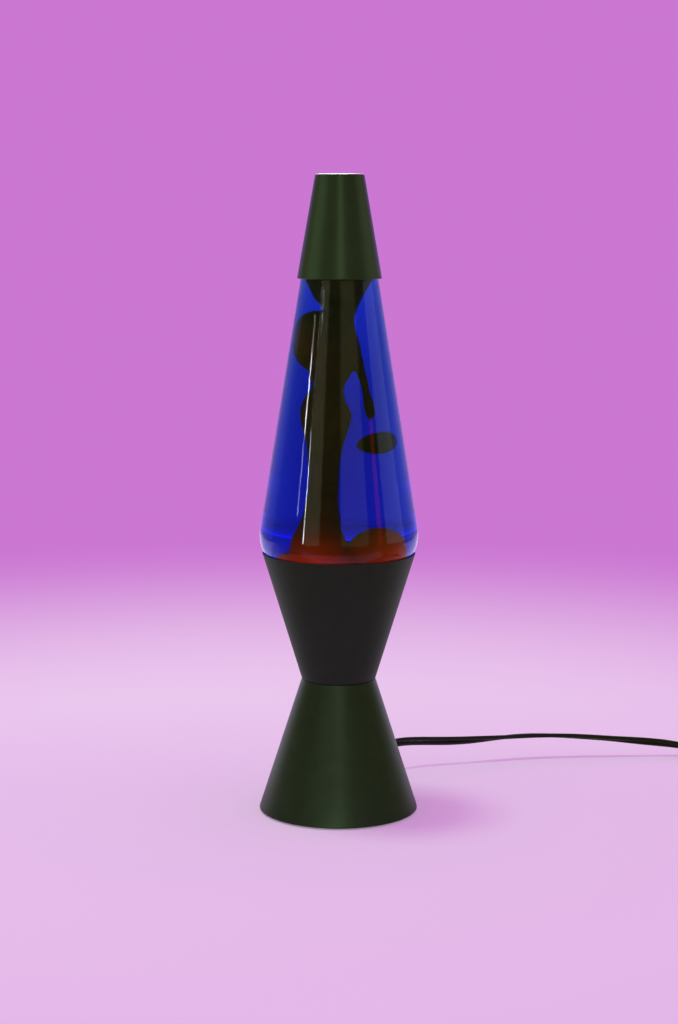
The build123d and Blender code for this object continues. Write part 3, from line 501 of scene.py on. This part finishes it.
PORCELAIN = finish_of("porcelain", (0.70, 0.68, 0.62), (0.78, 0.76, 0.71), 0.0, (0.10, 0.18),
                      grain=300, depth=0.02, coat=0.4, coat_rough=0.05)
COVER = finish_of("cover_plastic", (0.010, 0.010, 0.010), (0.016, 0.016, 0.016), 0.0, (0.5, 0.62),
                  grain=2200, depth=0.03)
RUBBER = finish_of("rubber", (0.012, 0.012, 0.012), (0.020, 0.020, 0.020), 0.0, (0.65, 0.8),
                   grain=1500, depth=0.03)
VINYL = finish_of("cord_vinyl", (0.0045, 0.0075, 0.0040), (0.0075, 0.0110, 0.0065), 0.0,
                  (0.30, 0.42), grain=900, depth=0.02)
SWITCH = finish_of("switch_plastic", (0.008, 0.008, 0.008), (0.012, 0.012, 0.012), 0.0,
                   (0.26, 0.36), grain=1800, depth=0.02)
WHEEL = finish_of("wheel_plastic", (0.014, 0.014, 0.014), (0.02, 0.02, 0.02), 0.0, (0.42, 0.52),
                  grain=1800, depth=0.02)
COPPER = finish_of("copper", (0.55, 0.24, 0.11), (0.66, 0.31, 0.16), 1.0, (0.25, 0.4))
TIN = finish_of("solder", (0.42, 0.42, 0.40), (0.55, 0.55, 0.53), 1.0, (0.35, 0.55), grain=500)
GOLD = finish_of("crown_lacquer", (0.50, 0.38, 0.16), (0.60, 0.47, 0.22), 1.0, (0.18, 0.28),
                 grain=500, depth=0.01, coat=0.3)
LINER = finish_of("liner", (0.5, 0.5, 0.47), (0.58, 0.58, 0.55), 0.0, (0.5, 0.6))
BLACK_GLASS = finish_of("black_glass", (0.008, 0.008, 0.010), (0.012, 0.012, 0.014), 0.0,
                        (0.05, 0.12), coat=0.3)
SILVERING = finish_of("silvering", (0.70, 0.71, 0.72), (0.78, 0.79, 0.80), 1.0, (0.06, 0.14),
                      grain=300, depth=0.005)
GLASS = clear_glass("globe_glass", 1.40)
DRY_GLASS = clear_glass("dry_glass", 1.40)
BULB_FRONT = clear_glass("bulb_front", 1.45, rough=0.03)
STEM_GLASS = clear_glass("stem_glass", 1.45)
WETTED = invisible("wetted_glass")
LIQUID = liquid_material()
LIQUID_TOP = clear_glass("liquid_top", 1.33)
WAX = wax_material("wax", 5.0)
DROP_WAX = wax_material("drop_wax", 0)


# ---- The globe and what it holds ----------------------------------------------------------------
UPPER_SLOPE = math.atan2(RIM_RADIUS - WAIST_RADIUS, RIM_Z - WAIST_Z)
SEAT_RADIUS = RIM_RADIUS - CONE_WALL / math.cos(UPPER_SLOPE) - SEAT_GAP
HEEL_TAN, TAPER_TAN = (math.tan(math.radians(a)) for a in (HEEL_ANGLE, TAPER_ANGLE))
TAPER_START = (
    SEAT_RADIUS + BELLY_ROUNDING * (math.cos(math.radians(TAPER_ANGLE))
                                    - math.cos(math.radians(HEEL_ANGLE))),
    RIM_Z + BELLY_ROUNDING * (math.sin(math.radians(HEEL_ANGLE))
                              + math.sin(math.radians(TAPER_ANGLE))),
)


def taper_radius(z):
    """The globe's outer radius on its long taper."""
    return TAPER_START[0] - (z - TAPER_START[1]) * TAPER_TAN


def belly_corner():
    """Where the globe's two tapers would meet if the belly were sharp."""
    rise = TAPER_START[0] + TAPER_START[1] * TAPER_TAN - SEAT_RADIUS + RIM_Z * HEEL_TAN
    z = rise / (HEEL_TAN + TAPER_TAN)
    return SEAT_RADIUS + (z - RIM_Z) * HEEL_TAN, z


def globe_side():
    """The globe's outside from its heel up to its neck."""
    heel = SEAT_RADIUS - (RIM_Z - FLOOR_Z) * HEEL_TAN
    return [(heel, FLOOR_Z, 7.0), (*belly_corner(), BELLY_ROUNDING),
            (taper_radius(SHOULDER_Z), SHOULDER_Z, 8.0), (NECK_RADIUS, SHOULDER_Z + 7.5, 3.5)]


def bore_side(gap=0.0):
    """The inside of the globe from its floor's centre up to its neck, moved in by gap."""
    floor = FLOOR_Z + GLASS_FLOOR + gap
    side = inset([(0, FLOOR_Z)] + globe_side() + [(NECK_RADIUS, MOUTH_Z)], GLASS_WALL + gap)
    heel, belly, shoulder = side[1:4]
    climb = (floor - heel[1]) * HEEL_TAN
    return [(0, floor), (heel[0] + climb, floor, 7.0), belly, shoulder,
            (MOUTH_RADIUS - gap, SHOULDER_Z + 6.3, 3.0)]


def make_globe():
    """The glass wall.  Where the liquid wets it, its inside doesn't bend light again."""
    outside = [(0, FLOOR_Z + 1.2), (22.0, FLOOR_Z + 1.2, 1.0), (24.0, FLOOR_Z, 1.0)] + globe_side()
    outside += [(NECK_RADIUS, MOUTH_Z - 6.9, 0.6), (FINISH_RADIUS, MOUTH_Z - 6.0, 0.8),
                (FINISH_RADIUS, MOUTH_Z, 1.4), (MOUTH_RADIUS, MOUTH_Z, 1.2)]
    inside = bore_side() + [(MOUTH_RADIUS, MOUTH_Z)]
    outer = rounded(outside + [(MOUTH_RADIUS, MOUTH_Z - 3)])[:-1]
    inner = rounded(inside)[:-1][::-1]
    count = len(outer)

    def slot(k, r, z):
        if k < count - 1:
            return 0
        return 1 if z < LIQUID_LEVEL else 2

    globe = lathe("globe_glass", outer + inner, slot)
    dress(globe, GLASS, WETTED, DRY_GLASS)
    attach(globe, "globe")
    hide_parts("glass_globe")
    return globe


def make_liquid():
    """The dyed liquid, a film's thickness inside the glass."""
    side = bore_side(FILM)
    belly, shoulder = side[2], side[3]
    t = (LIQUID_LEVEL - belly[1]) / (shoulder[1] - belly[1])
    edge = belly[0] + (shoulder[0] - belly[0]) * t
    profile = rounded([side[0], side[1], belly, (edge, LIQUID_LEVEL), (0, LIQUID_LEVEL)])
    body = lathe("liquid_body", profile, lambda k, r, z: 1 if z > LIQUID_LEVEL - 1e-3 else 0)
    dress(body, LIQUID, LIQUID_TOP)
    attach(body, "globe")
    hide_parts("liquid")


def make_wax():
    """The risen wax as one closed surface, and the free drop on its own body."""
    side = bore_side(FILM + 0.1)
    belly = side[2]
    edge = belly[0] - (belly[1] - POOL_LEVEL) * HEEL_TAN - 0.2
    pool = lathe("pool", rounded([side[0], side[1], (edge, POOL_LEVEL, 1.2), (0, POOL_LEVEL)]))
    parts = [pool, ring_stack("column", COLUMN), ring_stack("ledge", LEDGE),
             ring_stack("drip", DRIP), ball("lobe", *LOBE), ball("mound", *MOUND)]
    wax = merged("wax_mass_smooth", parts, 0.7, 0.5, 4)
    dress(wax, WAX)
    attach(wax, "globe")
    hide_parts("wax_mass")
    blob = ball("wax_drop", *BLOB, blunt=0.16)
    dress(blob, DROP_WAX)
    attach(blob, "wax_drop")
    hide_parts("wax_blob")


def dense(points, gap):
    """An outline with points no further apart than gap."""
    out = [points[0]]
    for a, b in zip(points, points[1:]):
        parts = max(1, math.ceil(math.dist(a, b) / gap))
        out += [(a[0] + (b[0] - a[0]) * i / parts, a[1] + (b[1] - a[1]) * i / parts)
                for i in range(1, parts + 1)]
    return out


def make_crown():
    """The pressed crown closure.  Its skirt is crimped into flutes that grow towards its edge."""
    outer = [(FINISH_RADIUS + 1.3, CROWN_FOOT_Z), (FINISH_RADIUS + 0.55, MOUTH_Z - 3.4, 2.0),
             (FINISH_RADIUS + 0.45, CROWN_TOP_Z, 1.4), (0, CROWN_TOP_Z)]
    profile = rounded(inset(outer, CROWN_GAUGE))[::-1] + rounded(outer)
    crown = lathe("crown_fluted", dense(profile, 0.5), steps=8 * CROWN_FLUTES)
    for vert in crown.data.vertices:
        radius = math.hypot(vert.co.x, vert.co.y)
        drop = (CROWN_TOP_Z - vert.co.z / MM) / (CROWN_TOP_Z - CROWN_FOOT_Z)
        depth = FLUTE_DEPTH * min(max(drop, 0), 1) ** 3
        wave = math.cos(CROWN_FLUTES * math.atan2(vert.co.y, vert.co.x))
        if radius > 0.5 * FINISH_RADIUS * MM:
            vert.co.xy *= 1 + depth * MM * wave / radius
    crown.data.update()
    dress(crown, GOLD)
    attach(crown, "globe")
    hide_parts("crown_cap")


def silver_bulb():
    """Silvers the bulb's envelope below its face."""
    mesh = NODES["bulb_envelope"].data
    dress(NODES["bulb_envelope"], BULB_FRONT, SILVERING)
    place = NODES["bulb_envelope"].matrix_world
    for face in mesh.polygons:
        face.material_index = 1 if (place @ face.center).z < SILVER_TOP * MM else 0


globe = make_globe()
make_liquid()
make_wax()
make_crown()
silver_bulb()

# ---- The CAD nodes that stay --------------------------------------------------------------------
FINISHES = {
    "lower_cone": GREEN_PAINT, "upper_cone": BLACK_PAINT, "top_cap": CAP_PAINT,
    "waist_rivets": STEEL, "socket_bracket": STEEL, "bottom_cover": COVER, "foot_pads": RUBBER,
    "cord_grommet": RUBBER, "socket_body": PORCELAIN, "socket_screw": STEEL,
    "socket_shell": BRASS, "socket_contact": BRASS, "terminal_screws": BRASS,
    "bulb_stem": STEM_GLASS, "bulb_shell": BRASS,
    "bulb_insulator": BLACK_GLASS, "bulb_tip": TIN, "bulb_filament": TIN,
    "crown_liner": LINER, "heating_coil": STEEL, "cord_insulation": VINYL, "cord_wires": COPPER,
    "lead_wires": VINYL, "switch_lower_case": SWITCH, "switch_upper_case": SWITCH,
    "switch_wheel": WHEEL, "switch_axle": STEEL, "switch_contacts": BRASS,
    "switch_screw": STEEL, "plug_body": VINYL, "plug_blades": BRASS,
}
for node, finish in FINISHES.items():
    dress(NODES[node], finish)


# ---- Stage: floor, lights and camera ------------------------------------------------------------
# Colours of the floor and of the backdrop, for each way that a ray can meet them.
# FLOOR_SEEN runs from its first colour to its second, paler one further behind the lamp: a painted
# pool of light.
FLOOR_SEEN = ((0.845, 0.615, 0.864), (0.887, 0.71, 0.893))
FLOOR_BOUNCE = (0.54, 0.34, 0.55)
BACKDROP = (0.597, 0.186, 0.648)
BEHIND_GLASS = ((0.60, 0.19, 0.49), (0.60, 0.22, 2.10))
DARK_ROOM = (0.20, 0.22, 0.05)
NEAR_GLOW = (0.70, 0.62, 0.76)
FAR_GLOW = (0.42, 0.24, 0.80)
FILL = (0.71, 0.23, 0.715)
# The share of the backdrop's colour laid over the whole floor.
HAZE = 0.25
# Distances from the lamp, in metres, over which the floor's looks change.
# The first span is how far behind the lamp the floor's painted pool of light grows paler.
PAINTED_LIGHT_BEHIND_LAMP = (0.02, 0.30)
SEEN_FADE = (0.28, 1.02)
MIRRORED_FADE = (0.135, 0.18)
GLASS_FADE = (1.0, 6.0)
NEAR_TO_FAR = (0.7, 1.3)
# How far the floor reaches from the lamp, in millimetres.
FLOOR_HALF_SIZE = 9000
# How far back a mirrored ray has to point, as the y of its direction, to leave the dim room.
NEAR_HORIZON = (-0.2, 0.7)
FAR_HORIZON = (0.5, 1.0)


def mirrored_room(nodes, links, y, horizon, glow):
    """What a mirroring surface sees along direction y: a dim room in front, a glow behind."""
    return blend(nodes, links, step(nodes, links, y, *horizon), DARK_ROOM, glow)


def mirror_ray(nodes, links, path):
    """1 on a mirrored ray.  A ray through glass counts as glossy too, and gives 0 here."""
    straight = maths(nodes, links, "SUBTRACT", 1.0, path.outputs["Is Transmission Ray"])
    return maths(nodes, links, "MULTIPLY", path.outputs["Is Glossy Ray"], straight)


def far_colour(nodes, links, where, reach, through, glossy):
    """The floor's far colour: the backdrop's, or what glass or a mirroring surface is to show."""
    depth = step(nodes, links, reach, *GLASS_FADE, smooth=False)
    deep = blend(nodes, links, depth, *BEHIND_GLASS)
    plain = blend(nodes, links, through, BACKDROP, deep)
    towards = part_of(nodes, links, where.outputs["Incoming"], "Y")
    away = maths(nodes, links, "MULTIPLY", towards, -1.0)
    mirrored = blend(nodes, links, step(nodes, links, reach, *NEAR_TO_FAR),
                     mirrored_room(nodes, links, away, NEAR_HORIZON, NEAR_GLOW),
                     mirrored_room(nodes, links, away, FAR_HORIZON, FAR_GLOW))
    return blend(nodes, links, glossy, plain, mirrored)


def far_share(nodes, links, reach, seen, glossy):
    """How much of the far colour covers the lit floor."""
    haze = maths(nodes, links, "MULTIPLY", seen, HAZE)
    near = maths(nodes, links, "SUBTRACT", 1.0, step(nodes, links, reach, *SEEN_FADE))
    clear = maths(nodes, links, "MULTIPLY", near, maths(nodes, links, "SUBTRACT", 1.0, haze))
    seen_fade = maths(nodes, links, "SUBTRACT", 1.0, clear)
    distant = step(nodes, links, reach, *MIRRORED_FADE)
    mirrored_fade = maths(nodes, links, "MULTIPLY", distant, glossy)
    return maths(nodes, links, "MAXIMUM", seen_fade, mirrored_fade)


def floor_material():
    """A pale matt floor near the lamp, painted paler further behind it as a pool of light, and a
    glow of the backdrop's colour far from it.
    """
    mat, nodes, links, shader = material("stage_pale")
    path = nodes.new("ShaderNodeLightPath")
    through = path.outputs["Is Transmission Ray"]
    glossy = mirror_ray(nodes, links, path)
    seen = maths(nodes, links, "MAXIMUM", path.outputs["Is Camera Ray"], through)
    where = nodes.new("ShaderNodeNewGeometry")
    back = part_of(nodes, links, where.outputs["Position"], "Y")
    # Painted light: the floor seen directly turns paler further behind the lamp.
    pale = blend(nodes, links, step(nodes, links, back, *PAINTED_LIGHT_BEHIND_LAMP), *FLOOR_SEEN)
    links.new(blend(nodes, links, seen, FLOOR_BOUNCE, pale), shader.inputs["Base Color"])
    shader.inputs["Roughness"].default_value = 0.9
    shader.inputs["Specular IOR Level"].default_value = 0.0
    length = nodes.new("ShaderNodeVectorMath")
    length.operation = "LENGTH"
    links.new(where.outputs["Position"], length.inputs[0])
    reach = length.outputs["Value"]
    far = nodes.new("ShaderNodeEmission")
    links.new(far_colour(nodes, links, where, reach, through, glossy), far.inputs["Color"])
    mix = nodes.new("ShaderNodeMixShader")
    links.new(far_share(nodes, links, reach, seen, glossy), mix.inputs["Fac"])
    links.new(shader.outputs["BSDF"], mix.inputs[1])
    links.new(far.outputs["Emission"], mix.inputs[2])
    links.new(mix.outputs["Shader"], nodes["Material Output"].inputs["Surface"])
    return mat


def make_stage():
    """A wide floor whose material fades into the backdrop's colour with distance."""
    side = FLOOR_HALF_SIZE
    corners = [(-side, -side, 0), (side, -side, 0), (side, side, 0), (-side, side, 0)]
    floor = new_object("stage_floor", corners, [(0, 1, 2, 3)])
    dress(floor, floor_material())
    return floor


def make_world():
    """The backdrop where it is seen, the room where it is mirrored, and a soft fill."""
    world = bpy.data.worlds.new("studio")
    bpy.context.scene.world = world
    world.use_nodes = True
    nodes, links = world.node_tree.nodes, world.node_tree.links
    where = nodes.new("ShaderNodeTexCoord")
    away = part_of(nodes, links, where.outputs["Generated"], "Y")
    path = nodes.new("ShaderNodeLightPath")
    mirrored = mirrored_room(nodes, links, away, FAR_HORIZON, FAR_GLOW)
    colour = blend(nodes, links, mirror_ray(nodes, links, path), BACKDROP, mirrored)
    colour = blend(nodes, links, path.outputs["Is Diffuse Ray"], colour, FILL)
    links.new(colour, nodes["Background"].inputs["Color"])


AIM = Vector((0, 0, 0.2))
GREENISH = (0.42, 1.0, 0.43)
OLIVE = (1.0, 1.0, 0.45)
LILAC = (0.50, 0.42, 1.0)


def group_of(name, pieces):
    """A collection of pieces, for a light to light or to be shadowed by."""
    group = bpy.data.collections.new(name)
    for piece in pieces:
        group.objects.link(piece)
    return group


def area_light(name, place, size, radiance, colour, lit):
    """A softbox at place that faces the lamp and lights only the pieces in lit."""
    light = bpy.data.lights.new(name, "AREA")
    light.shape, light.size, light.size_y = "RECTANGLE", *size
    light.energy = radiance * math.pi * size[0] * size[1]
    light.color = colour
    obj = bpy.data.objects.new(name, light)
    obj.location = place
    obj.rotation_mode = "QUATERNION"
    obj.rotation_quaternion = (Vector(place) - AIM).to_track_quat("Z", "Y")
    obj.visible_camera = False
    obj.visible_transmission = False
    bpy.context.scene.collection.objects.link(obj)
    obj.light_linking.receiver_collection = group_of(name + "_lights", lit)
    return obj


def around_lamp(azimuth, distance, height):
    """A point round the lamp.  Azimuth 0 is in front, 90 to the right."""
    a = math.radians(azimuth)
    return (math.sin(a) * distance, -math.cos(a) * distance, height)


def panel(name, start, end, low, high, radiance, colour, lit, reach=1.3):
    """An upright softbox between two azimuths and two heights."""
    width = 2 * reach * math.tan(math.radians(end - start) / 2)
    middle = around_lamp((start + end) / 2, reach, (low + high) / 2)
    obj = area_light(name, middle, (width, high - low), radiance, colour, lit)
    level = Vector((middle[0], middle[1], 0))
    obj.rotation_quaternion = level.to_track_quat("Z", "Y")


def floor_light(floor, base):
    """A high light from the left whose shadow is the base's alone, short and soft."""
    place = around_lamp(258, 0.41, 1.70)
    obj = area_light("floor_light", place, (0.40, 0.40), 25.0, GREENISH, [floor])
    obj.light_linking.blocker_collection = group_of("floor_light_shadows", base)


def cord_light(floor, cord):
    """A light from above that makes the cord's thin shadow on the floor."""
    light = bpy.data.lights.new("cord_light", "SUN")
    light.energy = 1.22
    light.angle = math.radians(10.0)
    light.color = GREENISH
    obj = bpy.data.objects.new("cord_light", light)
    obj.rotation_mode = "QUATERNION"
    obj.rotation_quaternion = Vector(around_lamp(330, 0.68, 1.7)).to_track_quat("Z", "Y")
    bpy.context.scene.collection.objects.link(obj)
    obj.light_linking.receiver_collection = group_of("cord_light_lights", [floor])
    obj.light_linking.blocker_collection = group_of("cord_light_shadows", cord)


CAMERA_PLACE = (0, -1.2045, 0.35)
CAMERA_DIP, CAMERA_ROLL = 8.2322, 0.13
CAMERA_SENSOR, CAMERA_LENS = 36.0, 74.2


def make_camera():
    """A long lens in front, just below the lamp's top and tipped down."""
    cam = bpy.data.cameras.new("camera")
    cam.sensor_width, cam.lens = CAMERA_SENSOR, CAMERA_LENS
    cam.clip_start = 0.05
    obj = bpy.data.objects.new("camera", cam)
    tip = Matrix.Rotation(math.radians(90 - CAMERA_DIP), 4, "X")
    roll = Matrix.Rotation(math.radians(CAMERA_ROLL), 4, "Z")
    obj.matrix_world = Matrix.Translation(CAMERA_PLACE) @ tip @ roll
    bpy.context.scene.collection.objects.link(obj)
    bpy.context.scene.camera = obj


# Panels: name, two azimuths in degrees, two heights in metres, radiance, colour.
GLASS_LIGHTS = (
    ("streak_top", -45.0, -43.7, 0.60, 0.68, 8.0, (1, 1, 0.9)),
    ("streak_upper_end", -65.8, -64.2, 0.54, 0.60, 7.0, (1, 1, 0.9)),
    ("streak_upper", -65.8, -64.2, 0.42, 0.54, 34.0, (1, 1, 0.9)),
    ("streak_upper_tail", -65.6, -64.4, 0.30, 0.42, 9.0, (0.8, 0.9, 1)),
    ("streak_lower", -52.6, -51.2, 0.02, 0.45, 26.0, (0.85, 1, 0.9)),
    ("streak_lower_end", -52.5, -51.5, 0.45, 0.70, 4.0, (0.9, 1, 0.9)),
    ("band_left", -50.5, -28.0, 0.0, 0.90, 0.60, (1.0, 1.0, 0.62)),
    ("wall_front", 3.0, 43.0, 0.0, 1.0, 0.40, OLIVE),
    ("red_edge", 57.5, 65.0, 0.0, 0.45, 1.1, (1, 0.04, 0.02)),
    ("wall_right", 72.0, 108.0, 0.0, 1.0, 0.65, (0.8, 0.9, 1)),
    ("edge_right", 108.0, 165.0, 0.0, 1.0, 0.60, (0.16, 0.22, 1.0)),
    ("edge_left", -165.0, -112.0, 0.0, 1.0, 0.60, (0.14, 0.18, 1.0)),
)
CAP_LIGHTS = (
    ("cap_glow", -3.0, 9.0, 0.20, 1.0, 1.25, (1, 1, 0.8)),
    ("cap_left", -102.0, -58.0, 0.20, 1.0, 0.42, (0.85, 1, 0.8)),
    ("cap_right", 80.0, 116.0, 0.20, 1.0, 0.26, (1, 1, 0.9)),
)
CONE_LIGHTS = (
    ("cone_glow", -4.0, 8.0, 0.20, 1.0, 1.1, (1, 1, 0.8)),
    ("cone_left", -44.0, -12.0, 0.20, 1.0, 0.24, (0.85, 1, 0.8)),
    ("cone_edge_left", -165.0, -125.0, 0.0, 0.7, 0.50, (1, 0.92, 1)),
    ("cone_edge_right", 130.0, 165.0, 0.0, 0.7, 0.45, (1, 0.92, 1)),
    ("seam_edge", -14.0, 6.0, 1.5, 2.4, 9.0, (1, 1, 1)),
)


def light_globe(globe):
    """The long reflections down the glass, and lights at the floor that shine into its belly."""
    for name, start, end, low, high, radiance, colour in GLASS_LIGHTS:
        panel(name, start, end, low, high, radiance, colour, [globe])
    for name, x in (("belly_left", -0.45), ("belly_right", 0.45)):
        for part, y, radiance in (("near", 0.45, 0.70), ("far", 0.95, 1.0)):
            glow = area_light(name + "_" + part, (x, y, 0.003), (0.80, 0.50), radiance, LILAC,
                              [globe])
            glow.rotation_quaternion = Vector((0, 0, -1)).to_track_quat("Z", "Y")
    area_light("belly_band", (0.01, -0.14, 0.02), (0.50, 0.10), 0.4, (0.8, 0.45, 1.0), [globe])


def light_paint(cap, cone):
    """Soft upright glows on the painted cap and cone."""
    for name, start, end, low, high, radiance, colour in CAP_LIGHTS:
        panel(name, start, end, low, high, radiance, colour, [cap])
    for name, start, end, low, high, radiance, colour in CONE_LIGHTS:
        panel(name, start, end, low, high, radiance, colour, [cone])
    panel("foot_glow", -14.0, 6.0, 0.002, 0.012, 1.8, (0.7, 1, 0.7), [cone], reach=0.085)
    area_light("cap_roof", (-0.03, 0.60, 1.10), (0.45, 0.9), 24.0, (0.9, 0.75, 0.9), [cap])


floor = make_stage()
make_world()
lamp = [o for o in bpy.context.scene.objects if o.type == "MESH" and o is not floor]
area_light("key", around_lamp(250, 0.8, 1.8), (1.4, 1.4), 1.3, GREENISH, lamp)
floor_light(floor, [NODES[n] for n in ("lower_cone", "upper_cone", "bottom_cover")])
cord_light(floor, [NODES[n] for n in ("cord_insulation", "switch_upper_case", "plug_body")])
light_globe(globe)
light_paint(NODES["top_cap"], NODES["lower_cone"])
make_camera()
bpy.context.scene.view_settings.view_transform = "Standard"
